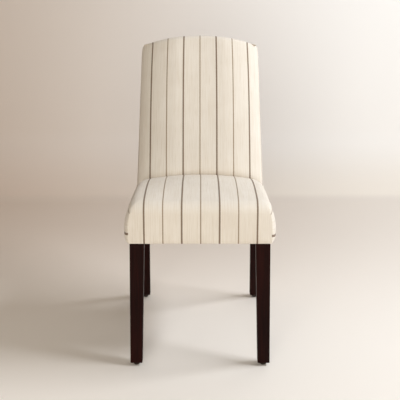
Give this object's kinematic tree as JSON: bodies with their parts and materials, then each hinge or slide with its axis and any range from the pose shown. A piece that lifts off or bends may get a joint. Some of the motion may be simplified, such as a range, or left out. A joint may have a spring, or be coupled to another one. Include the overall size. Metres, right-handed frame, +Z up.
{
  "type": "parsons chair",
  "caption": "Fully upholstered side chair with an arched, raked back, a crowned seat, striped fabric covers and tapered dark wooden legs on glides.",
  "frame": {"origin": "on the floor, under the middle of the chair's overall width and depth", "axes": "+X to the right of someone looking at the front of the chair, +Y from the front of the seat to the back, +Z up"},
  "size_m": [0.4514, 0.6302, 0.94],
  "materials": {
    "espresso_wood": "satin stain and lacquer",
    "frame_wood": "planed, unfinished",
    "screw_steel": "zinc plated",
    "glide_plastic": "moulded",
    "webbing": "woven",
    "black_cloth": "non-woven",
    "foam": "open-cell foam",
    "wadding": "fibre batting",
    "striped_cloth": "woven, with dark stripes from front to back"
  },
  "bodies": {
    "root": {"front_leg_right": "espresso_wood", "front_leg_left": "espresso_wood", "rear_leg_and_post_right": "espresso_wood", "rear_leg_and_post_left": "espresso_wood", "front_rail": "frame_wood", "rear_rail": "frame_wood", "side_rail_right": "frame_wood", "side_rail_left": "frame_wood", "lower_back_rail": "frame_wood", "crest_rail": "frame_wood", "corner_block_front_right": "frame_wood", "corner_block_front_left": "frame_wood", "corner_block_rear_right": "frame_wood", "corner_block_rear_left": "frame_wood", "screw_front_cross_rail_right": "screw_steel", "screw_front_cross_rail_left": "screw_steel", "screw_rear_cross_rail_right": "screw_steel", "screw_rear_cross_rail_left": "screw_steel", "screw_front_side_rail_right": "screw_steel", "screw_front_side_rail_left": "screw_steel", "screw_rear_side_rail_right": "screw_steel", "screw_rear_side_rail_left": "screw_steel", "glide_front_right": "glide_plastic", "glide_front_left": "glide_plastic", "glide_rear_right": "glide_plastic", "glide_rear_left": "glide_plastic", "seat_strap_long_1": "webbing", "seat_strap_long_2": "webbing", "seat_strap_long_3": "webbing", "seat_strap_long_4": "webbing", "seat_strap_cross_1": "webbing", "seat_strap_cross_2": "webbing", "seat_strap_cross_3": "webbing", "seat_strap_cross_4": "webbing", "back_strap_cross_1": "webbing", "back_strap_cross_2": "webbing", "back_strap_cross_3": "webbing", "back_strap_upright_1": "webbing", "back_strap_upright_2": "webbing", "deck_cloth": "black_cloth", "dust_cover": "black_cloth", "seat_foam": "foam", "seat_wadding": "wadding", "seat_cover": "striped_cloth", "back_foam": "foam", "rear_wadding": "wadding", "inside_back_cover": "striped_cloth", "outside_back_cover": "striped_cloth"}
  },
  "joints": []
}
